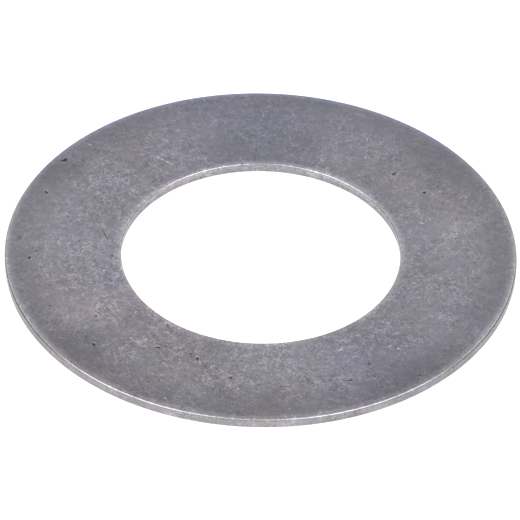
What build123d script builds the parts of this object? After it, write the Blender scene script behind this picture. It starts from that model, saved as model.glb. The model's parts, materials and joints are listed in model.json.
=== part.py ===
from build123d import *
import os
from math import cos, radians, sin

# Shim ring, stamped in one stroke from cold-rolled steel sheet and tumbled smooth.
# Millimetres and degrees, +Z up. The origin is the centre of the lower face.

# The three sizes that the ring is ordered by
BORE_DIAMETER = 30.0
RIM_DIAMETER = 55.0
THICKNESS = 1.1

# The rim, blanked from above: its roll is on the upper face and its break runs out below.
RIM_ROLL_WIDTH = 0.56
RIM_ROLL_TILT = 14.0
RIM_CORNER_RADIUS = 0.20
RIM_BREAK_SHARE = 0.35
RIM_BREAK_TAPER = 3.0
RIM_TUMBLED_RADIUS = 0.11

# The bore, pierced from above in the same stroke: a narrower roll, and a longer break below.
BORE_ROLL_WIDTH = 0.36
BORE_ROLL_TILT = 11.0
BORE_CORNER_RADIUS = 0.14
BORE_BREAK_SHARE = 0.40
BORE_BREAK_TAPER = 3.0
BORE_TUMBLED_RADIUS = 0.13

QUARTER_TURN = 90


def punched_edge(roll_width, roll_tilt, corner_radius, break_share, break_taper, tumbled_radius):
    """The outline of one punched edge, drawn from the face where the tool enters, at the top.

    The sheet is drawn down in a shallow roll, turns a small round corner, runs straight down the
    land on x = 0, then breaks away at a taper over the last share of its thickness, and ends in
    a corner rounded by tumbling. The metal is on the side where x is below 0.
    """
    tilt = radians(roll_tilt)
    taper = radians(break_taper)
    roll_start = (-roll_width - corner_radius * (1 - sin(tilt)), THICKNESS)
    break_start = (0, break_share * THICKNESS)
    break_height = break_share * THICKNESS - tumbled_radius * (1 - sin(taper))

    roll = JernArc(roll_start, (1, 0), roll_width / sin(tilt), -roll_tilt)
    corner = JernArc(roll @ 1, roll % 1, corner_radius, roll_tilt - QUARTER_TURN)
    land = Line(corner @ 1, break_start)
    break_line = PolarLine(break_start, break_height / cos(taper), -QUARTER_TURN - break_taper)
    tumbled = JernArc(break_line @ 1, break_line % 1, tumbled_radius, break_taper - QUARTER_TURN)
    return Wire([roll, corner, land, break_line, tumbled])


def ring_section():
    """The ring's section on one side of its axis: two punched edges and the two flat faces."""
    rim = Pos(RIM_DIAMETER / 2, 0) * punched_edge(
        RIM_ROLL_WIDTH,
        RIM_ROLL_TILT,
        RIM_CORNER_RADIUS,
        RIM_BREAK_SHARE,
        RIM_BREAK_TAPER,
        RIM_TUMBLED_RADIUS,
    )
    # The bore's edge is the same kind of outline mirrored, as its metal is on the outer side.
    bore_edge = punched_edge(
        BORE_ROLL_WIDTH,
        BORE_ROLL_TILT,
        BORE_CORNER_RADIUS,
        BORE_BREAK_SHARE,
        BORE_BREAK_TAPER,
        BORE_TUMBLED_RADIUS,
    )
    bore = Pos(BORE_DIAMETER / 2, 0) * mirror(bore_edge, about=Plane.YZ)
    upper_face = Line(bore @ 0, rim @ 0)
    lower_face = Line(rim @ 1, bore @ 1)
    return make_face(bore.edges() + upper_face.edges() + rim.edges() + lower_face.edges())


shim_ring = revolve(Plane.XZ * ring_section(), Axis.Z)
shim_ring.label = "shim_ring"

os.makedirs("parts", exist_ok=True)
export_step(shim_ring, "parts/shim_ring.step")
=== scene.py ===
import bpy
import json
from math import cos, hypot, pi, radians, sin, tan
from mathutils import Matrix, Vector

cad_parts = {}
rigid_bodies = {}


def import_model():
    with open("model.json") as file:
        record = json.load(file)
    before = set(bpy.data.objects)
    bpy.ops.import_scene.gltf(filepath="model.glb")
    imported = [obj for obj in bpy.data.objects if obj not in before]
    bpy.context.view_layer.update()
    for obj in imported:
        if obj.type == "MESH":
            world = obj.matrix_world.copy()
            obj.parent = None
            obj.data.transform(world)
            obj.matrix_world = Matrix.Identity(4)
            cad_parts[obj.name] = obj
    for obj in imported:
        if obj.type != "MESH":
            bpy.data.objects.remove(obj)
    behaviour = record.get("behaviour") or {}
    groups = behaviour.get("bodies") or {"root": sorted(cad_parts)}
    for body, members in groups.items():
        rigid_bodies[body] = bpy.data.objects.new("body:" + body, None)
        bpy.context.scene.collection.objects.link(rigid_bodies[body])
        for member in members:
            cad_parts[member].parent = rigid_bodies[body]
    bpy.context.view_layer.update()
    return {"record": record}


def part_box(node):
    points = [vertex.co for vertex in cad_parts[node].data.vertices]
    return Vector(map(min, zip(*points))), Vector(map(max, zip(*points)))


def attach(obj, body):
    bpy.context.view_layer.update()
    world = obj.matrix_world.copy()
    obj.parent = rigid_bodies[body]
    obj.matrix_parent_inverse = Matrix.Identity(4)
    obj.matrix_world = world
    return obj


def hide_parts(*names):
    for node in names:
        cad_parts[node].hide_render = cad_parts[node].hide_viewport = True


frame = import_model()

# The camera: a long lens on a copy stand, looking down at the ring from in front and turned very
# slightly clockwise. Its place comes from the fit to the rim's and the bore's outlines.
MILLIMETRE = 0.001
SENSOR_WIDTH = 36
CLIP_FACTOR = 10

scene = bpy.context.scene
scene.view_settings.view_transform = "Standard"


def aim_camera(elevation, roll, distance, focal_length, shift_right, shift_up):
    """A camera that looks at the origin along +Y and down, then is moved a little in its own plane."""
    back = Vector((0, -cos(elevation), sin(elevation)))
    level_right = Vector((1, 0, 0))
    level_up = back.cross(level_right)
    right = cos(roll) * level_right + sin(roll) * level_up
    up = -sin(roll) * level_right + cos(roll) * level_up
    place = distance * back - shift_right * right - shift_up * up

    lens = bpy.data.cameras.new("camera")
    lens.lens = focal_length
    lens.sensor_width = SENSOR_WIDTH
    lens.clip_start = distance / CLIP_FACTOR
    lens.clip_end = distance * CLIP_FACTOR
    camera = bpy.data.objects.new("camera", lens)
    camera.matrix_world = Matrix.LocRotScale(place, Matrix((right, up, back)).transposed(), None)
    scene.collection.objects.link(camera)
    return camera


scene.camera = aim_camera(
    elevation=radians(39.82),
    roll=radians(1.02),
    distance=930.6 * MILLIMETRE,
    focal_length=599.5,
    shift_right=0.065 * MILLIMETRE,
    shift_up=-0.007 * MILLIMETRE,
)

# The floor and the light: a white table in a pale room that is dim low down at the sides and towards
# the camera, and one large softbox high up on each side, a little to the front.
FLOOR_SIZE = 4000 * MILLIMETRE
FLOOR_WHITE = 0.28
FLOOR_OWN_LIGHT = 0.84
FLOOR_DROP = 0.02 * MILLIMETRE
LAMP_DISTANCE = 900 * MILLIMETRE
LAMP_WIDTH = 900 * MILLIMETRE
LAMP_HEIGHT = 800 * MILLIMETRE
LAMP_POWER = 6.2
OVERHEAD_BRIGHTNESS = 1.50


class Nodes:
    """A short way to add nodes to one tree and to join them up."""

    def __init__(self, tree):
        self.tree = tree

    def add(self, kind, *inputs, **settings):
        """Adds a node. Each input is a socket to link from, a plain value, or None to leave alone."""
        node = self.tree.nodes.new(kind)
        for name, value in settings.items():
            setattr(node, name, value)
        shown = [socket for socket in node.inputs if socket.enabled]
        for socket, value in zip(shown, inputs):
            self.feed(socket, value)
        return node

    def feed(self, socket, value):
        if isinstance(value, bpy.types.NodeSocket):
            self.tree.links.new(value, socket)
        elif value is not None:
            socket.default_value = value

    def math(self, operation, *values, **settings):
        return self.add("ShaderNodeMath", *values, operation=operation, **settings).outputs[0]

    def blend(self, share, first, second):
        """A plain mix of two numbers."""
        node = self.add("ShaderNodeMix", data_type="FLOAT")
        self.feed(node.inputs["Factor"], share)
        self.feed(node.inputs["A"], first)
        self.feed(node.inputs["B"], second)
        return node.outputs["Result"]

    def ease(self, value, start, end, low=0.0, high=1.0):
        """A smooth step from low at start to high at end."""
        node = self.add("ShaderNodeMapRange", interpolation_type="SMOOTHSTEP")
        self.feed(node.inputs["Value"], value)
        node.inputs["From Min"].default_value = start
        node.inputs["From Max"].default_value = end
        self.feed(node.inputs["To Min"], low)
        self.feed(node.inputs["To Max"], high)
        return node.outputs["Result"]


def seen_directly(nodes):
    """1 for what the camera, a reflection or clear glass sees, and 0 for light on its way to a surface."""
    path = nodes.add("ShaderNodeLightPath")
    direct = nodes.math("ADD", path.outputs["Is Camera Ray"], path.outputs["Is Glossy Ray"], use_clamp=True)
    return nodes.math("ADD", direct, path.outputs["Is Transmission Ray"], use_clamp=True)


def make_floor():
    """White paper a hair's breadth under the ring, so that the two faces don't share one plane."""
    half = FLOOR_SIZE / 2
    corners = [(x, y, -FLOOR_DROP) for x, y in ((-half, -half), (half, -half), (half, half), (-half, half))]
    sheet = bpy.data.meshes.new("floor")
    sheet.from_pydata(corners, [], [(0, 1, 2, 3)])
    floor = bpy.data.objects.new("floor", sheet)
    scene.collection.objects.link(floor)

    paper = bpy.data.materials.new("white_paper")
    paper.use_nodes = True
    paper.node_tree.nodes.clear()
    nodes = Nodes(paper.node_tree)
    matt = nodes.add("ShaderNodeBsdfDiffuse")
    matt.inputs["Color"].default_value = (FLOOR_WHITE, FLOOR_WHITE, FLOOR_WHITE, 1)
    glow = nodes.add("ShaderNodeEmission")
    glow.inputs["Color"].default_value = (1, 1, 1, 1)
    nodes.feed(glow.inputs["Strength"], nodes.math("MULTIPLY", seen_directly(nodes), FLOOR_OWN_LIGHT))
    lit = nodes.add("ShaderNodeAddShader", matt.outputs[0], glow.outputs[0])
    from_below = nodes.add("ShaderNodeNewGeometry").outputs["Backfacing"]
    clear = nodes.add("ShaderNodeBsdfTransparent")
    surface = nodes.add("ShaderNodeMixShader", from_below, lit.outputs[0], clear.outputs[0])
    nodes.add("ShaderNodeOutputMaterial", surface.outputs[0])
    sheet.materials.append(paper)


def light_the_room():
    """The room's brightness by height and side. The camera itself sees plain white."""
    room = bpy.data.worlds.new("room")
    room.use_nodes = True
    room.node_tree.nodes.clear()
    nodes = Nodes(room.node_tree)
    towards = nodes.add("ShaderNodeSeparateXYZ", nodes.add("ShaderNodeTexCoord").outputs["Generated"])
    across, along, height = towards.outputs

    sideways = nodes.math("ABSOLUTE", across)
    above_the_back = nodes.ease(sideways, start=0.08, end=0.36, low=0.62, high=1.60)
    back = nodes.ease(height, start=0.25, end=0.62, low=1.05, high=above_the_back)
    side = nodes.ease(height, start=0.42, end=0.62, low=0.01, high=1.20)
    front = nodes.ease(height, start=0.00, end=0.30, low=0.75, high=1.18)
    at_the_side = nodes.ease(sideways, start=0.55, end=0.80)
    at_the_front = nodes.ease(along, start=0.05, end=-0.25)
    level = nodes.blend(at_the_side, back, side)
    level = nodes.blend(at_the_front, level, front)
    overhead = nodes.ease(height, start=0.82, end=0.96)
    level = nodes.blend(overhead, level, OVERHEAD_BRIGHTNESS)

    is_camera = nodes.add("ShaderNodeLightPath").outputs["Is Camera Ray"]
    strength = nodes.blend(is_camera, level, 1.0)
    sky = nodes.add("ShaderNodeBackground", None, strength)
    sky.inputs["Color"].default_value = (1, 1, 1, 1)
    nodes.add("ShaderNodeOutputWorld", sky.outputs[0])
    scene.world = room


def hang_softbox(name, azimuth, elevation):
    """A softbox at an azimuth, 0 on the right and 90 at the back, that faces the ring."""
    towards = Vector((cos(azimuth) * cos(elevation), sin(azimuth) * cos(elevation), sin(elevation)))
    lamp = bpy.data.lights.new(name, "AREA")
    lamp.shape = "RECTANGLE"
    lamp.size = LAMP_WIDTH
    lamp.size_y = LAMP_HEIGHT
    lamp.energy = LAMP_POWER
    softbox = bpy.data.objects.new(name, lamp)
    softbox.location = LAMP_DISTANCE * towards
    softbox.rotation_mode = "QUATERNION"
    softbox.rotation_quaternion = towards.to_track_quat("Z", "Y")
    scene.collection.objects.link(softbox)


make_floor()
light_the_room()
hang_softbox("softbox_left", azimuth=radians(205), elevation=radians(53))
hang_softbox("softbox_right", azimuth=radians(-33), elevation=radians(53))

# The ring: one piece of cold-rolled steel sheet, blanked and pierced in one stroke from above and
# then tumbled. Each wall has its roll, small round corner, burnished land and tapered break, and
# the faces have the pits, nicks and scratches that rolling, tumbling and handling left in them.
RIM_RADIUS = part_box("shim_ring")[1][0]
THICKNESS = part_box("shim_ring")[1][2]
BORE_RADIUS = next(
    mount["dims"]["r_mm"] * MILLIMETRE for mount in frame["record"]["mounts"] if mount["name"] == "bore"
)
RIM_EDGE = dict(
    roll_width=0.56 * MILLIMETRE,
    roll_tilt=radians(14),
    corner_radius=0.20 * MILLIMETRE,
    break_share=0.35,
    break_taper=radians(3),
    tumbled_radius=0.11 * MILLIMETRE,
)
BORE_EDGE = dict(
    roll_width=0.36 * MILLIMETRE,
    roll_tilt=radians(11),
    corner_radius=0.14 * MILLIMETRE,
    break_share=0.40,
    break_taper=radians(3),
    tumbled_radius=0.13 * MILLIMETRE,
)
ROLL_STEPS = 6
CORNER_STEPS = 8
LAND_STEPS = 3
TUMBLED_STEPS = 5
STEPS_ROUND = 512
JOIN_DISTANCE = 0.002 * MILLIMETRE

# The kinds of mark that show one by one: half length, half width and depth in millimetres, and tone
# from 1 for a dark pit to -1 for bright steel.
MARK_KINDS = {
    "large_pit": (0.55, 0.42, 0.12, 0.95),
    "pit": (0.40, 0.28, 0.09, 0.90),
    "long_pit": (0.55, 0.20, 0.04, 0.95),
    "small_pit": (0.27, 0.20, 0.05, 0.85),
    "faint_pit": (0.27, 0.19, 0.04, 0.45),
    "dent": (0.50, 0.17, 0.03, 0.45),
    "smudge": (0.60, 0.40, 0.02, 0.22),
    "nick": (0.18, 0.15, 0.03, -0.95),
    "pale_spot": (0.24, 0.20, 0.02, -0.45),
    "scuff": (0.34, 0.12, 0.02, -0.75),
    "rubbed_patch": (0.50, 0.40, 0.03, -0.35),
    "scratch": (0.60, 0.09, 0.02, -0.90),
    "long_scratch": (1.80, 0.09, 0.02, -0.80),
    "dark_scratch": (2.50, 0.10, 0.05, 0.75),
}
# Where they lie on the upper face: kind, across and along in millimetres, and turn in degrees.
PLACED_MARKS = [
    ("large_pit", -21.5, 15.2, 20),
    ("pit", -23.3, 9.6, 100),
    ("pit", -24.8, -1.5, 90),
    ("pit", -17.5, -15.7, 100),
    ("pit", -10.7, -16.0, 155),
    ("pit", -6.5, -17.7, 60),
    ("pit", -2.9, -20.7, 120),
    ("pit", 14.3, 13.8, 60),
    ("pit", 17.6, 10.7, 60),
    ("dent", -22.3, -9.5, 0),
    ("long_pit", 9.6, -20.8, 10),
    ("small_pit", -19.5, 15.2, 45),
    ("small_pit", -24.1, -0.4, 80),
    ("small_pit", -9.9, -15.8, 90),
    ("small_pit", -7.2, -17.0, 150),
    ("faint_pit", -7.4, -15.2, 0),
    ("small_pit", 11.7, -18.1, 80),
    ("small_pit", 17.0, -19.8, 30),
    ("faint_pit", 7.6, -22.9, 80),
    ("small_pit", 21.0, 3.0, 110),
    ("faint_pit", 19.0, 11.8, 130),
    ("faint_pit", 17.2, 13.7, 0),
    ("faint_pit", 23.5, 5.7, 75),
    ("faint_pit", 21.0, -8.6, 55),
    ("faint_pit", 16.5, 18.0, 30),
    ("faint_pit", -4.2, 23.2, 150),
    ("faint_pit", -16.4, 19.8, 45),
    ("faint_pit", -20.2, 0.8, 0),
    ("faint_pit", -19.4, -8.4, 30),
    ("smudge", -12.3, -16.2, 0),
    ("smudge", -8.5, -16.5, 20),
    ("smudge", -20.3, 14.2, 160),
    ("smudge", -3.9, -22.0, 120),
    ("smudge", -18.3, -14.6, 60),
    ("smudge", 15.4, 17.6, 30),
    ("smudge", 18.4, 12.9, 150),
    ("smudge", -26.0, 1.8, 90),
    ("nick", -16.7, -3.5, 90),
    ("pale_spot", -17.3, -9.3, 90),
    ("pale_spot", -9.4, -22.9, 20),
    ("nick", -9.8, -24.3, 0),
    ("nick", 3.3, 23.6, 50),
    ("nick", 21.1, 3.7, 0),
    ("pale_spot", -12.8, -15.2, 40),
    ("pale_spot", -13.6, -14.6, 120),
    ("pale_spot", -18.9, -7.6, 45),
    ("pale_spot", -11.4, 12.4, 120),
    ("scuff", 11.4, 19.5, 90),
    ("scuff", 11.2, 16.4, 90),
    ("scuff", 13.9, -15.2, 40),
    ("scuff", 14.8, -15.6, 160),
    ("scuff", -13.2, -10.3, 80),
    ("scuff", 10.5, -13.5, 30),
    ("rubbed_patch", -13.2, 16.3, 30),
    ("scratch", 8.7, -15.9, 35),
    ("scratch", -18.9, 17.8, 150),
    ("scratch", 17.3, 5.4, 160),
    ("long_scratch", -10.8, 15.4, 145),
    ("dark_scratch", -16.8, 2.6, 110),
]
# The bowl that every mark is made of, ring by ring: share of its reach and share of its depth.
MARK_SHAPES = 7
MARK_CORNERS = 12
MARK_RINGS = [(1.0, 0.0), (0.78, 0.18), (0.5, 0.68), (0.22, 0.95)]
# The small marks at random: half length, half width and depth from smallest to largest, and tone.
SMALLEST_MARK = (0.05 * MILLIMETRE, 0.04 * MILLIMETRE, 0.01 * MILLIMETRE)
LARGEST_MARK = (0.16 * MILLIMETRE, 0.12 * MILLIMETRE, 0.04 * MILLIMETRE)
CLEANEST_TONE = -0.6
DIRTIEST_TONE = 0.9
MARK_SPACING = 1.1 * MILLIMETRE
MARK_CLEARANCE = 0.45 * MILLIMETRE
MARK_DENSITY = 90000.0
MARK_MARGIN = 1.3 * MILLIMETRE
SCATTER_SEED = 5
LOWER_SEED_OFFSET = 20
UPPER_SHAPE_SEED = 11
LOWER_SHAPE_SEED = 12
PLACED_SHAPE_SEED = 13
# How much wider the laid-out surface is than the ring, and how far the lower face shrinks to fit in.
LAYOUT_MARGIN = 1.01
LOWER_LAYOUT_MARGIN = 0.97


def arc(centre, radius, start, end, steps):
    """Points on an arc, at angles from straight up towards the metal's outside."""
    angles = [start + (end - start) * step / steps for step in range(steps + 1)]
    return [(centre[0] + radius * sin(angle), centre[1] + radius * cos(angle)) for angle in angles]


def punched_edge(roll_width, roll_tilt, corner_radius, break_share, break_taper, tumbled_radius):
    """One punched edge from the upper to the lower face, as (distance out from the land, height)."""
    quarter_turn = pi / 2
    roll_radius = roll_width / sin(roll_tilt)
    roll_start = -roll_width - corner_radius * (1 - sin(roll_tilt))
    roll = arc((roll_start, THICKNESS - roll_radius), roll_radius, 0, roll_tilt, ROLL_STEPS)
    corner_height = roll[-1][1] - corner_radius * cos(roll_tilt)
    corner = arc((-corner_radius, corner_height), corner_radius, roll_tilt, quarter_turn, CORNER_STEPS)
    break_start = break_share * THICKNESS
    land = [
        (0, corner_height + (break_start - corner_height) * step / LAND_STEPS)
        for step in range(1, LAND_STEPS + 1)
    ]
    break_height = break_start - tumbled_radius * (1 - sin(break_taper))
    foot = (-break_height * tan(break_taper), break_start - break_height)
    tumbled_centre = (
        foot[0] - tumbled_radius * cos(break_taper),
        foot[1] + tumbled_radius * sin(break_taper),
    )
    tumbled = arc(tumbled_centre, tumbled_radius, quarter_turn + break_taper, pi, TUMBLED_STEPS)
    return roll + corner[1:] + land + tumbled


def distances_along(points):
    """How far each point of an outline is from its first point, in millimetres."""
    reached = [0.0]
    for (x, y), (next_x, next_y) in zip(points, points[1:]):
        reached.append(reached[-1] + hypot(next_x - x, next_y - y) / MILLIMETRE)
    return reached


def draw_section():
    """The two punched edges as open outlines, set out from the rim as the circle's sweep reads them.

    Along says how far round the edge each point is, and spread the radius at which the wall lies
    when the whole surface is laid flat.
    """
    rim = punched_edge(**RIM_EDGE)
    bore = punched_edge(**BORE_EDGE)
    rim_along = distances_along(rim)
    bore_along = distances_along(bore)
    rim_spread = [(RIM_RADIUS + rim[0][0]) / MILLIMETRE + along for along in rim_along]
    bore_spread = [(BORE_RADIUS - bore[0][0]) / MILLIMETRE - along for along in bore_along]
    bore = [(BORE_RADIUS - RIM_RADIUS - out, height) for out, height in bore]

    points = [(out, -height, 0) for out, height in rim + bore[::-1]]
    edges = [(i, i + 1) for i in range(len(points) - 1) if i != len(rim) - 1]
    outline = bpy.data.meshes.new("section")
    outline.from_pydata(points, edges, [])
    along = rim_along + bore_along[::-1]
    spread = rim_spread + bore_spread[::-1]
    outline.attributes.new("along", "FLOAT", "POINT").data.foreach_set("value", along)
    outline.attributes.new("spread", "FLOAT", "POINT").data.foreach_set("value", spread)
    return outline, max(rim_spread), min(bore_spread)


def mark_shape(number):
    """A shallow bowl of unit size with an uneven outline, at height 0 and open at the top."""
    points = []
    depths = []
    for reach, depth in MARK_RINGS:
        for corner in range(MARK_CORNERS):
            angle = 2 * pi * corner / MARK_CORNERS
            two_lobes = 0.16 * sin(2 * angle + 1.7 * number)
            three_lobes = 0.12 * sin(3 * angle + 2.9 * number)
            uneven = 1 + two_lobes + three_lobes
            points.append((reach * uneven * cos(angle), reach * uneven * sin(angle), -depth))
            depths.append(depth)
    points.append((0, 0, -1))
    depths.append(1.0)

    faces = []
    for ring in range(len(MARK_RINGS) - 1):
        for corner in range(MARK_CORNERS):
            following = (corner + 1) % MARK_CORNERS
            outer, inner = ring * MARK_CORNERS, (ring + 1) * MARK_CORNERS
            faces.append((outer + corner, outer + following, inner + following, inner + corner))
    last = (len(MARK_RINGS) - 1) * MARK_CORNERS
    for corner in range(MARK_CORNERS):
        faces.append((last + corner, last + (corner + 1) % MARK_CORNERS, len(points) - 1))
    bowl = bpy.data.meshes.new("mark_%d" % number)
    bowl.from_pydata(points, [], faces)
    bowl.attributes.new("depth", "FLOAT", "POINT").data.foreach_set("value", depths)
    return bpy.data.objects.new(bowl.name, bowl)


def placed_marks():
    """The marks that show one by one, as points that carry their size, turn and tone."""
    points = [(across * MILLIMETRE, along * MILLIMETRE, 0) for _, across, along, _ in PLACED_MARKS]
    cloud = bpy.data.meshes.new("placed_marks")
    cloud.from_pydata(points, [], [])
    kinds = [MARK_KINDS[kind] for kind, *_ in PLACED_MARKS]
    sizes = [size * MILLIMETRE for *three_sizes, _ in kinds for size in three_sizes]
    turns = [radians(turn) for *_, turn in PLACED_MARKS]
    tones = [tone for *_, tone in kinds]
    cloud.attributes.new("size", "FLOAT_VECTOR", "POINT").data.foreach_set("vector", sizes)
    cloud.attributes.new("turn", "FLOAT", "POINT").data.foreach_set("value", turns)
    cloud.attributes.new("tone", "FLOAT", "POINT").data.foreach_set("value", tones)
    return bpy.data.objects.new("placed_marks", cloud)


def add_input(tree, name, kind):
    return tree.interface.new_socket(name, in_out="INPUT", socket_type="NodeSocket" + kind).identifier


def punch_and_tumble():
    """The tree that sweeps the section round the bore's axis and closes it with the two marked faces."""
    tree = bpy.data.node_groups.new("punch_and_tumble", "GeometryNodeTree")
    kinds = {
        "Section": "Geometry",
        "Rim Radius": "Float",
        "Thickness": "Float",
        "Steps Round": "Int",
        "Mark Shapes": "Collection",
        "Placed Marks": "Object",
        "Mark Spacing": "Float",
        "Mark Clearance": "Float",
        "Mark Density": "Float",
        "Innermost Mark": "Float",
        "Outermost Mark": "Float",
        "Layout Radius": "Float",
        "Lower Face Layout": "Float",
        "Seed": "Int",
        "Steel": "Material",
    }
    inputs = {name: add_input(tree, name, kind) for name, kind in kinds.items()}
    tree.interface.new_socket("Ring", in_out="OUTPUT", socket_type="NodeSocketGeometry")
    nodes = Nodes(tree)
    given = nodes.add("NodeGroupInput").outputs

    def join(*parts):
        together = nodes.add("GeometryNodeJoinGeometry")
        for part in parts:
            tree.links.new(part, together.inputs[0])
        return together.outputs[0]

    def read(name, data_type="FLOAT"):
        return nodes.add("GeometryNodeInputNamedAttribute", name, data_type=data_type).outputs[0]

    def store(geometry, name, value, data_type="FLOAT", domain="POINT"):
        named = nodes.add(
            "GeometryNodeStoreNamedAttribute", geometry, True, name, value, data_type=data_type, domain=domain
        )
        return named.outputs[0]

    def lay_flat(geometry, radius, reach):
        """Stores the map on which the ring lies unrolled round its axis, reach being its half width."""
        place = nodes.add("GeometryNodeInputPosition").outputs[0]
        level = nodes.add("ShaderNodeVectorMath", place, (1, 1, 0), operation="MULTIPLY").outputs[0]
        outwards = nodes.add("ShaderNodeVectorMath", level, operation="NORMALIZE").outputs[0]
        share = nodes.math("DIVIDE", radius, nodes.math("MULTIPLY", reach, 2))
        scaled = nodes.add("ShaderNodeVectorMath", outwards, operation="SCALE")
        nodes.feed(scaled.inputs["Scale"], share)
        middle = (0.5, 0.5, 0)
        centred = nodes.add("ShaderNodeVectorMath", scaled.outputs[0], middle, operation="ADD").outputs[0]
        return store(geometry, "OFBake", centred, "FLOAT2", "CORNER")

    place = nodes.add("GeometryNodeInputPosition").outputs[0]
    level_place = nodes.add("ShaderNodeVectorMath", place, (1, 1, 0), operation="MULTIPLY").outputs[0]
    radius = nodes.add("ShaderNodeVectorMath", level_place, operation="LENGTH").outputs["Value"]
    radius_mm = nodes.math("DIVIDE", radius, MILLIMETRE)
    height = nodes.add("ShaderNodeSeparateXYZ", place).outputs["Z"]
    is_upper = nodes.math("GREATER_THAN", height, nodes.math("MULTIPLY", given["Thickness"], 0.5))
    is_lower = nodes.math("SUBTRACT", 1, is_upper)
    edge_faces = nodes.add("GeometryNodeInputMeshEdgeNeighbors").outputs[0]
    is_open = nodes.math("COMPARE", edge_faces, 1, 0.5)
    upper_reach = given["Layout Radius"]
    lower_reach = nodes.math("DIVIDE", upper_reach, given["Lower Face Layout"])

    section = nodes.add("GeometryNodeMeshToCurve", given["Section"]).outputs[0]
    circle = nodes.add("GeometryNodeCurvePrimitiveCircle", given["Steps Round"], given["Rim Radius"])
    walls = nodes.add("GeometryNodeCurveToMesh", circle.outputs[0], section).outputs[0]
    walls = store(walls, "wall", read("along"), domain="CORNER")

    def close(outlines, on_which_face, at_height):
        """Fills the flat steel between the open outlines that lie on one face."""
        chosen = nodes.math("MULTIPLY", is_open, on_which_face)
        loops = nodes.add("GeometryNodeMeshToCurve", outlines, chosen).outputs[0]
        flat = nodes.add("GeometryNodeFillCurve", loops, mode="TRIANGLES").outputs[0]
        lift = nodes.add("ShaderNodeCombineXYZ", 0, 0, at_height).outputs[0]
        return nodes.add("GeometryNodeSetPosition", flat, None, None, lift).outputs[0]

    bare_face = close(walls, is_upper, 0)
    shapes = nodes.add("GeometryNodeCollectionInfo", given["Mark Shapes"], True, True).outputs[0]
    listed = nodes.add("GeometryNodeObjectInfo", given["Placed Marks"]).outputs["Geometry"]
    by_hand = nodes.add("GeometryNodeMeshToPoints", listed).outputs[0]

    def scatter(seed_offset, keep_clear_of=None):
        """Small marks at random over a face, as points that carry their size, turn and tone."""
        seed = nodes.math("ADD", given["Seed"], seed_offset)

        def random(low, high, offset, data_type="FLOAT"):
            node = nodes.add("FunctionNodeRandomValue", data_type=data_type)
            shown = [socket for socket in node.inputs if socket.enabled]
            for socket, value in zip(shown, (low, high, None, nodes.math("ADD", seed, offset))):
                nodes.feed(socket, value)
            return next(socket for socket in node.outputs if socket.enabled)

        points = nodes.add("GeometryNodeDistributePointsOnFaces", distribute_method="POISSON")
        for name, value in (
            ("Mesh", bare_face),
            ("Distance Min", given["Mark Spacing"]),
            ("Density Max", given["Mark Density"]),
            ("Seed", seed),
        ):
            nodes.feed(points.inputs[name], value)
        points = points.outputs["Points"]
        too_near_bore = nodes.math("LESS_THAN", radius, given["Innermost Mark"])
        too_near_rim = nodes.math("GREATER_THAN", radius, given["Outermost Mark"])
        unwanted = nodes.math("MAXIMUM", too_near_bore, too_near_rim)
        if keep_clear_of is not None:
            nearest = nodes.add("GeometryNodeProximity", keep_clear_of, target_element="FACES")
            crowded = nodes.math("LESS_THAN", nearest.outputs["Distance"], given["Mark Clearance"])
            unwanted = nodes.math("MAXIMUM", unwanted, crowded)
        points = nodes.add("GeometryNodeDeleteGeometry", points, unwanted, domain="POINT").outputs[0]
        sizes = random(SMALLEST_MARK, LARGEST_MARK, offset=1, data_type="FLOAT_VECTOR")
        points = store(points, "size", sizes, "FLOAT_VECTOR")
        points = store(points, "turn", random(0.0, 2 * pi, offset=2))
        return store(points, "tone", random(CLEANEST_TONE, DIRTIEST_TONE, offset=3))

    def bowls_at(points, over, shape_seed):
        """Puts a bowl at each point, with its outline at height 0; over is half a turn below."""
        turned = nodes.add("ShaderNodeCombineXYZ", over, 0, read("turn")).outputs[0]
        bowls = nodes.add("GeometryNodeInstanceOnPoints")
        which = nodes.add("FunctionNodeRandomValue", data_type="INT")
        shown = [socket for socket in which.inputs if socket.enabled]
        for socket, value in zip(shown, (0, MARK_SHAPES - 1, None, shape_seed)):
            nodes.feed(socket, value)
        picked = next(socket for socket in which.outputs if socket.enabled)
        for name, value in (
            ("Points", points),
            ("Instance", shapes),
            ("Pick Instance", True),
            ("Instance Index", picked),
            ("Rotation", turned),
            ("Scale", read("size", "FLOAT_VECTOR")),
        ):
            nodes.feed(bowls.inputs[name], value)
        sunk = nodes.add("GeometryNodeRealizeInstances", bowls.outputs[0]).outputs[0]
        return store(sunk, "mark", nodes.math("MULTIPLY", read("depth"), read("tone")))

    placed = bowls_at(by_hand, over=0.0, shape_seed=PLACED_SHAPE_SEED)
    scattered = bowls_at(scatter(0, placed), over=0.0, shape_seed=UPPER_SHAPE_SEED)
    upper_marks = join(placed, scattered)
    up = nodes.add("ShaderNodeCombineXYZ", 0, 0, given["Thickness"]).outputs[0]
    upper_marks = nodes.add("GeometryNodeSetPosition", upper_marks, None, None, up).outputs[0]
    lower_marks = bowls_at(scatter(LOWER_SEED_OFFSET), over=pi, shape_seed=LOWER_SHAPE_SEED)
    upper_flat = close(join(walls, upper_marks), is_upper, given["Thickness"])
    lower_flat = close(join(walls, lower_marks), is_lower, 0.0)
    lower_flat = nodes.add("GeometryNodeFlipFaces", lower_flat).outputs[0]

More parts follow.
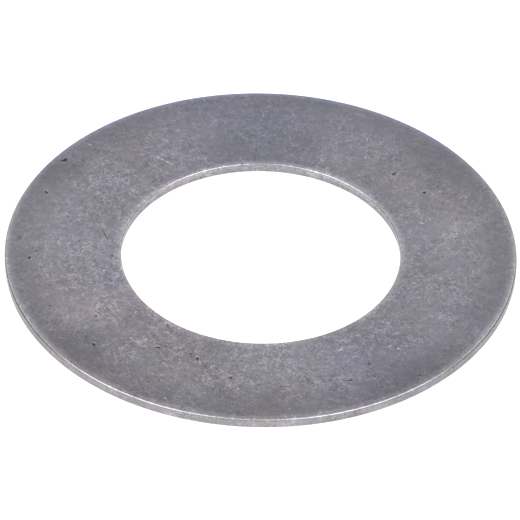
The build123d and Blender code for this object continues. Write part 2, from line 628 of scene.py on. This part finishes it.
    flats = join(
        lay_flat(upper_flat, radius_mm, upper_reach),
        lay_flat(lower_flat, radius_mm, lower_reach),
    )
    flats = nodes.add("GeometryNodeSetShadeSmooth", flats, True, False).outputs[0]
    rounded = join(
        lay_flat(walls, read("spread"), upper_reach),
        lay_flat(upper_marks, radius_mm, upper_reach),
        lay_flat(lower_marks, radius_mm, lower_reach),
    )
    rounded = nodes.add("GeometryNodeSetShadeSmooth", rounded, True, True).outputs[0]
    whole = nodes.add("GeometryNodeMergeByDistance", join(flats, rounded), True, JOIN_DISTANCE).outputs[0]
    for spent in ("along", "spread", "size", "turn", "tone", "depth"):
        removed = nodes.add("GeometryNodeRemoveAttribute", whole)
        removed.inputs["Name"].default_value = spent
        whole = removed.outputs[0]
    whole = nodes.add("GeometryNodeRealizeInstances", whole).outputs[0]
    whole = nodes.add("GeometryNodeSetMaterial", whole, True, given["Steel"]).outputs[0]
    nodes.add("NodeGroupOutput", whole)
    return tree, inputs


# The steel's finish: dull grey from tumbling, with fine short scratches every way, cloudy patches of
# warmer and cooler grey, and brighter metal where the edges were rubbed. Places are in millimetres.
# Each cloud: across, along, radius, how much lighter, how much warmer, how much bluer.
CLOUDS = [
    (-20.5, 3.0, 8.0, 0.13, 0.00, 0.00),
    (-18.5, -8.5, 6.0, 0.13, 0.00, 0.00),
    (19.5, 3.0, 7.5, 0.13, 0.00, 0.00),
    (1.0, -17.0, 8.0, 0.12, 0.00, 0.00),
    (17.5, -20.0, 8.5, -0.20, 0.00, 0.01),
    (-19.5, -18.0, 6.5, -0.19, 0.00, 0.00),
    (0.0, 18.0, 9.5, -0.15, -0.01, 0.01),
    (19.0, 15.5, 6.0, -0.06, 0.00, 0.00),
    (-22.5, 14.0, 5.5, -0.12, 0.00, 0.00),
    (-13.0, -23.5, 6.0, -0.13, 0.00, 0.00),
    (0.0, -26.5, 7.0, -0.12, 0.00, 0.00),
    (12.5, -23.5, 6.0, -0.08, 0.00, 0.00),
    (-15.0, -14.0, 13.0, 0.00, 0.06, 0.00),
    (-1.0, -23.0, 8.0, 0.00, 0.05, -0.01),
    (-22.0, -7.0, 5.0, 0.00, 0.04, 0.00),
    (-2.0, 24.0, 15.0, 0.00, -0.02, 0.06),
    (15.0, 21.0, 7.0, 0.00, -0.01, 0.03),
    (11.0, -18.5, 9.0, -0.04, 0.00, 0.06),
    (23.0, -11.0, 6.0, 0.00, 0.00, 0.03),
    (-8.5, -19.0, 8.0, 0.00, 0.00, -0.05),
    (17.5, 10.0, 6.5, 0.00, 0.02, 0.00),
    (-19.0, -15.0, 4.0, -0.05, -0.05, 0.00),
    (-15.5, -5.5, 3.0, 0.00, -0.04, 0.01),
    (-18.0, -9.0, 4.0, 0.04, 0.02, -0.03),
    (-12.0, -18.5, 3.5, 0.00, -0.04, 0.00),
    (-4.0, -24.0, 4.5, -0.05, -0.03, 0.02),
    (1.0, -22.0, 4.5, -0.05, -0.04, 0.00),
    (5.0, -19.0, 3.5, 0.03, -0.02, -0.04),
    (15.0, 13.0, 4.0, 0.03, 0.03, 0.00),
    (12.0, 16.0, 3.5, 0.02, -0.03, -0.02),
    (21.0, 6.0, 4.0, 0.04, 0.02, 0.00),
    (-22.0, 9.0, 5.0, 0.06, 0.00, 0.00),
]
FACE_GREY = (0.2505, 0.244, 0.277)
EDGE_BRIGHTNESS = 1.42
RIM_WALL_BRIGHTNESS = 1.45
BORE_WALL_BRIGHTNESS = 1.23
OUTER_BAND_DARKNESS = 0.87
CLOUD_DRIFT = 7.0
CLOUD_CORE = 0.15
STROKE_BEND = 0.7
STROKE_SOFTNESS = 0.15
SPECK_CORE = 0.3
MOST_WORN_PLACE = (-9, -18, 0)
BACK_CALM = 0.78

# How far each layer of the finish lightens the steel, or darkens it where the number is below 0.
MOTTLE_STRENGTH = 0.62
LIGHT_STROKE_STRENGTH = 0.55
DARK_STROKE_STRENGTH = -0.46
GRAIN_STRENGTH = 0.72
DARK_SPECK_STRENGTH = -0.42
LIGHT_SPECK_STRENGTH = 0.45
DIRT_STRENGTH = -0.95
CLEAN_STRENGTH = 1.00
STREAK_STRENGTH = 0.8

# Factors on red and blue: warmer walls, rubbed edges with less blue, and a painted bluish glow on the rim at
# the back, which the steel itself doesn't have.
WALL_RED = 1.02
RUBBED_BLUE = 0.935
# The painted glow: how much the rim at the back is painted less red and more blue, as bluish light and not as
# the steel's colour
PAINTED_GLOW_RED = 0.99
PAINTED_GLOW_BLUE = 1.28
SPECKLE_SHARE = 0.105
WALL_PLAINNESS = 0.75
GRAZING_TINT = 0.72
FACE_ROUGHNESS = 0.34
FACE_ROUGHNESS_CHANGE = 0.16
WALL_ROUGHNESS = 0.18


class Steel(Nodes):
    """The nodes of the steel's finish, with its patterns in millimetres."""

    def move(self, place, shift):
        return self.add("ShaderNodeVectorMath", place, shift, operation="ADD").outputs[0]

    def noise(self, place, grain, detail, roughness, which="Fac"):
        """Soft random cloud whose largest lumps are about grain millimetres across."""
        node = self.add("ShaderNodeTexNoise")
        self.feed(node.inputs["Vector"], place)
        node.inputs["Scale"].default_value = 1 / grain
        node.inputs["Detail"].default_value = detail
        node.inputs["Roughness"].default_value = roughness
        return node.outputs[which]

    def strokes(self, place, turns, length, width, shift, rarity):
        """Short thin strokes that lie along each of the turns, where a stretched cloud is thickest."""
        together = None
        for turn in turns:
            turned = self.add("ShaderNodeVectorRotate", rotation_type="Z_AXIS")
            self.feed(turned.inputs["Vector"], self.move(place, shift))
            turned.inputs["Angle"].default_value = turn
            finer = (1 / length, 1 / width, 1 / width)
            drawn = self.add("ShaderNodeVectorMath", turned.outputs[0], finer, operation="MULTIPLY")
            cloud = self.noise(drawn.outputs[0], grain=1.0, detail=1, roughness=0.5)
            stroke = self.ease(cloud, rarity, rarity + STROKE_SOFTNESS)
            together = stroke if together is None else self.math("MAXIMUM", together, stroke)
        return together

    def specks(self, place, grain, size, shift, share):
        """Tiny round specks, at most one to a cell, most cells being empty."""
        cells = self.add("ShaderNodeTexVoronoi", feature="F1")
        self.feed(cells.inputs["Vector"], self.move(place, shift))
        cells.inputs["Scale"].default_value = 1 / grain
        lot = self.add("ShaderNodeSeparateColor", cells.outputs["Color"]).outputs["Red"]
        chosen = self.math("LESS_THAN", lot, share)
        spot = self.ease(cells.outputs["Distance"], size / grain, size * SPECK_CORE / grain)
        return self.math("MULTIPLY", spot, chosen)

    def tint(self, colour, share, by):
        """Multiplies a colour by another, as far as share says."""
        node = self.add("ShaderNodeMix", data_type="RGBA", blend_type="MULTIPLY")
        self.feed(node.inputs["Factor"], share)
        self.feed(node.inputs["A"], colour)
        self.feed(node.inputs["B"], by)
        return node.outputs["Result"]

    def shaded(self, shade, layer, strength, base=1.0):
        """Multiplies the shade by base plus strength times the layer."""
        return self.math("MULTIPLY", shade, self.math("MULTIPLY_ADD", layer, strength, base))

    def pushed_about(self, place, cloud, reach):
        """Moves each place across and along by up to reach, as a coloured cloud says."""
        pushed = self.add("ShaderNodeVectorMath", cloud, (reach, reach, 0.0), place, operation="MULTIPLY_ADD")
        return pushed.outputs[0]


def tumbled_steel():
    steel = bpy.data.materials.new("tumbled_steel")
    steel.use_nodes = True
    steel.node_tree.nodes.clear()
    nodes = Steel(steel.node_tree)
    place = nodes.add("ShaderNodeTexCoord").outputs["Object"]
    scaled = nodes.add("ShaderNodeVectorMath", place, operation="SCALE")
    scaled.inputs["Scale"].default_value = 1 / MILLIMETRE
    place = scaled.outputs[0]
    level_place = nodes.add("ShaderNodeVectorMath", place, (1, 1, 0), operation="MULTIPLY").outputs[0]
    radius = nodes.add("ShaderNodeVectorMath", level_place, operation="LENGTH").outputs["Value"]
    round_edge = nodes.add("ShaderNodeAttribute", attribute_name="wall").outputs["Fac"]
    mark = nodes.add("ShaderNodeAttribute", attribute_name="mark").outputs["Fac"]

    # The clouds, with uneven borders
    centred = nodes.move(level_place, (-CLOUD_DRIFT / 2, -CLOUD_DRIFT / 2, 0))
    drift = nodes.noise(place, grain=5.0, detail=3, roughness=0.6, which="Color")
    drift = nodes.pushed_about(centred, drift, CLOUD_DRIFT)
    colour = nodes.add("ShaderNodeRGB").outputs[0]
    colour.default_value = (*FACE_GREY, 1)
    for across, along, reach, lighter, warmer, bluer in CLOUDS:
        distance = nodes.add("ShaderNodeVectorMath", drift, (across, along, 0), operation="DISTANCE")
        share = nodes.ease(distance.outputs["Value"], reach, CLOUD_CORE * reach)
        colour = nodes.tint(colour, share, (1 + lighter + warmer, 1 + lighter, 1 + lighter + bluer, 1))
    outer_band = nodes.ease(radius, start=22.0, end=26.0)
    shade = nodes.blend(outer_band, 1.0, OUTER_BAND_DARKNESS)

    # Mottling by size, from soft lumps to fine grain, and hairlines, each as lighter or darker steel.
    # Busy says how marked the fine part is: most where the face is worn, least at the rim and back.
    mottle = nodes.math("SUBTRACT", nodes.noise(place, grain=7.0, detail=6.0, roughness=0.85), 0.5)
    shade = nodes.shaded(shade, mottle, MOTTLE_STRENGTH)
    patches = nodes.noise(place, grain=4.0, detail=3, roughness=0.6)
    busy = nodes.ease(patches, start=0.38, end=0.60, low=0.50, high=1.10)
    worn = nodes.add("ShaderNodeVectorMath", drift, MOST_WORN_PLACE, operation="DISTANCE")
    worn = nodes.ease(worn.outputs["Value"], start=17.0, end=5.0, low=0.92, high=1.14)
    busy = nodes.math("MULTIPLY", busy, worn)
    busy = nodes.math("MULTIPLY", busy, nodes.ease(radius, start=22.0, end=25.0, low=1.0, high=0.62))
    at_the_back = nodes.ease(nodes.add("ShaderNodeSeparateXYZ", place).outputs["Y"], start=6.0, end=22.0)
    busy = nodes.math("MULTIPLY", busy, nodes.blend(at_the_back, 1.0, BACK_CALM))
    bend = nodes.noise(place, grain=1.6, detail=2, roughness=0.6, which="Color")
    bent = nodes.pushed_about(place, bend, STROKE_BEND)
    light = nodes.strokes(
        bent, turns=(0.2, 0.85, 1.45, 2.1, 2.75), length=0.66, width=0.23, shift=(3.1, 7.7, 1.3), rarity=0.60
    )
    dark = nodes.strokes(
        bent, turns=(0.5, 1.15, 1.8, 2.5), length=0.55, width=0.23, shift=(14.5, -6.3, 8.1), rarity=0.62
    )
    light = nodes.math("MULTIPLY", light, busy)
    dark = nodes.math("MULTIPLY", dark, busy)
    shade = nodes.shaded(shade, light, LIGHT_STROKE_STRENGTH, base=0.945)
    shade = nodes.shaded(shade, dark, DARK_STROKE_STRENGTH, base=1.03)
    grain_place = nodes.move(place, (2.0, 5.0, 9.0))
    grain = nodes.math("SUBTRACT", nodes.noise(grain_place, grain=0.75, detail=1.5, roughness=0.6), 0.5)
    grain = nodes.math("MULTIPLY", grain, busy)
    shade = nodes.shaded(shade, grain, GRAIN_STRENGTH)
    dark_specks = nodes.specks(place, grain=1.3, size=0.17, shift=(5.5, 2.2, 0.4), share=0.30)
    shade = nodes.shaded(shade, dark_specks, DARK_SPECK_STRENGTH, base=1.005)
    light_specks = nodes.specks(place, grain=1.2, size=0.13, shift=(-4.1, 9.6, 2.7), share=0.25)
    shade = nodes.shaded(shade, light_specks, LIGHT_SPECK_STRENGTH)

    # The marks: dirt in the pits, clean metal in the nicks and scratches
    dirt = nodes.math("MAXIMUM", mark, 0.0)
    clean = nodes.math("MAXIMUM", nodes.math("MULTIPLY", mark, -1.0), 0.0)
    shade = nodes.shaded(shade, dirt, DIRT_STRENGTH)
    shade = nodes.shaded(shade, clean, CLEAN_STRENGTH)

    # The edges: rubbed brighter towards the corner, with fine streaks straight down the walls
    streaks = nodes.add("ShaderNodeVectorMath", place, (1, 1, 0.12), operation="MULTIPLY").outputs[0]
    streak = nodes.math("SUBTRACT", nodes.noise(streaks, grain=3.5, detail=7, roughness=0.85), 0.5)
    streak = nodes.math("MULTIPLY", streak, nodes.ease(round_edge, start=0.7, end=0.9))
    shade = nodes.shaded(shade, streak, STREAK_STRENGTH)
    from_rim = nodes.math("SUBTRACT", RIM_RADIUS / MILLIMETRE, radius)
    from_bore = nodes.math("SUBTRACT", radius, BORE_RADIUS / MILLIMETRE)
    from_edge = nodes.math("MINIMUM", from_rim, from_bore)
    rubbed = nodes.ease(from_edge, start=1.0, end=0.05)
    on_the_wall = nodes.ease(round_edge, start=0.75, end=1.0)
    is_bore = nodes.math("LESS_THAN", from_bore, from_rim)
    wall_brightness = nodes.blend(is_bore, RIM_WALL_BRIGHTNESS, BORE_WALL_BRIGHTNESS)
    brightness = nodes.blend(on_the_wall, EDGE_BRIGHTNESS, wall_brightness)
    shade = nodes.math("MULTIPLY", shade, nodes.blend(rubbed, 1.0, brightness))

    # The colour: the shade as a grey, tinted a little at the edges and painted bluer on the rim at the back
    # as a glow of light, over the clouds and a fine speckle
    # Painted bluish glow: the outer 0.9 mm of the upper face at the back is tinted bluer as light, not as the
    # steel's colour
    painted_back_rim_glow = nodes.math("MULTIPLY", nodes.ease(from_rim, start=0.9, end=0.3), at_the_back)
    painted_back_rim_glow = nodes.math("MULTIPLY", painted_back_rim_glow, nodes.math("SUBTRACT", 1, on_the_wall))
    red = nodes.math("MULTIPLY", shade, nodes.blend(on_the_wall, 1.0, WALL_RED))
    red = nodes.math("MULTIPLY", red, nodes.blend(painted_back_rim_glow, 1.0, PAINTED_GLOW_RED))
    blue = nodes.math("MULTIPLY", shade, nodes.blend(rubbed, 1.0, RUBBED_BLUE))
    blue = nodes.math("MULTIPLY", blue, nodes.blend(painted_back_rim_glow, 1.0, PAINTED_GLOW_BLUE))
    grey = nodes.add("ShaderNodeCombineColor", red, shade, blue).outputs[0]
    speckle = nodes.noise(place, grain=2.4, detail=1.6, roughness=0.6, which="Color")
    speckle_tint = nodes.add("ShaderNodeMix", data_type="RGBA", blend_type="MIX")
    speckle_tint.inputs["Factor"].default_value = SPECKLE_SHARE
    speckle_tint.inputs["A"].default_value = (1, 1, 1, 1)
    nodes.feed(speckle_tint.inputs["B"], speckle)
    plain = nodes.add("ShaderNodeMix", data_type="RGBA", blend_type="MIX")
    nodes.feed(plain.inputs["Factor"], nodes.math("MULTIPLY", on_the_wall, WALL_PLAINNESS))
    nodes.feed(plain.inputs["A"], colour)
    plain.inputs["B"].default_value = (*FACE_GREY, 1)
    colour = nodes.tint(plain.outputs["Result"], 1.0, grey)
    colour = nodes.tint(colour, 1.0, speckle_tint.outputs["Result"])

    shader = nodes.add("ShaderNodeBsdfPrincipled")
    shader.inputs["Metallic"].default_value = 1.0
    shader.inputs["Specular Tint"].default_value = (GRAZING_TINT, GRAZING_TINT, GRAZING_TINT, 1)
    nodes.feed(shader.inputs["Base Color"], colour)
    dull = nodes.noise(place, grain=1.2, detail=4, roughness=0.7)
    dull = nodes.math("MULTIPLY_ADD", dull, FACE_ROUGHNESS_CHANGE, FACE_ROUGHNESS)
    beside_the_wall = nodes.ease(round_edge, start=0.2, end=0.5)
    nodes.feed(shader.inputs["Roughness"], nodes.blend(beside_the_wall, dull, WALL_ROUGHNESS))

    bump = nodes.add("ShaderNodeBump")
    bump.inputs["Strength"].default_value = 0.6
    bump.inputs["Distance"].default_value = 0.01 * MILLIMETRE
    fine_grain = nodes.noise(place, grain=0.6, detail=3, roughness=0.7)
    relief = nodes.math("MULTIPLY_ADD", light, -0.5, fine_grain)
    nodes.feed(bump.inputs["Height"], relief)
    nodes.feed(shader.inputs["Normal"], bump.outputs[0])
    nodes.add("ShaderNodeOutputMaterial", shader.outputs[0])
    return steel


def make_ring():
    section, widest, narrowest = draw_section()
    shapes = bpy.data.collections.new("mark_shapes")
    for number in range(MARK_SHAPES):
        shapes.objects.link(mark_shape(number))
    by_hand = placed_marks()
    draft = bpy.data.objects.new("ring_draft", section)
    scene.collection.objects.link(draft)
    tree, inputs = punch_and_tumble()
    sweep = draft.modifiers.new("punch_and_tumble", "NODES")
    sweep.node_group = tree
    lower_share = LOWER_LAYOUT_MARGIN * narrowest / (RIM_RADIUS / MILLIMETRE)
    values = {
        "Rim Radius": RIM_RADIUS,
        "Thickness": THICKNESS,
        "Steps Round": STEPS_ROUND,
        "Mark Shapes": shapes,
        "Placed Marks": by_hand,
        "Mark Spacing": MARK_SPACING,
        "Mark Clearance": MARK_CLEARANCE,
        "Mark Density": MARK_DENSITY,
        "Innermost Mark": BORE_RADIUS + MARK_MARGIN,
        "Outermost Mark": RIM_RADIUS - MARK_MARGIN,
        "Layout Radius": widest * LAYOUT_MARGIN,
        "Lower Face Layout": lower_share,
        "Seed": SCATTER_SEED,
        "Steel": tumbled_steel(),
    }
    for name, value in values.items():
        sweep[inputs[name]] = value
    finished = draft.evaluated_get(bpy.context.evaluated_depsgraph_get())
    mesh = bpy.data.meshes.new_from_object(finished)
    bpy.data.objects.remove(draft)
    bpy.data.objects.remove(by_hand)
    for shape in list(shapes.objects):
        bpy.data.objects.remove(shape)
    bpy.data.collections.remove(shapes)
    ring = bpy.data.objects.new("tumbled_shim_ring", mesh)
    scene.collection.objects.link(ring)
    return ring


ring = make_ring()
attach(ring, "root")
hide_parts("shim_ring")
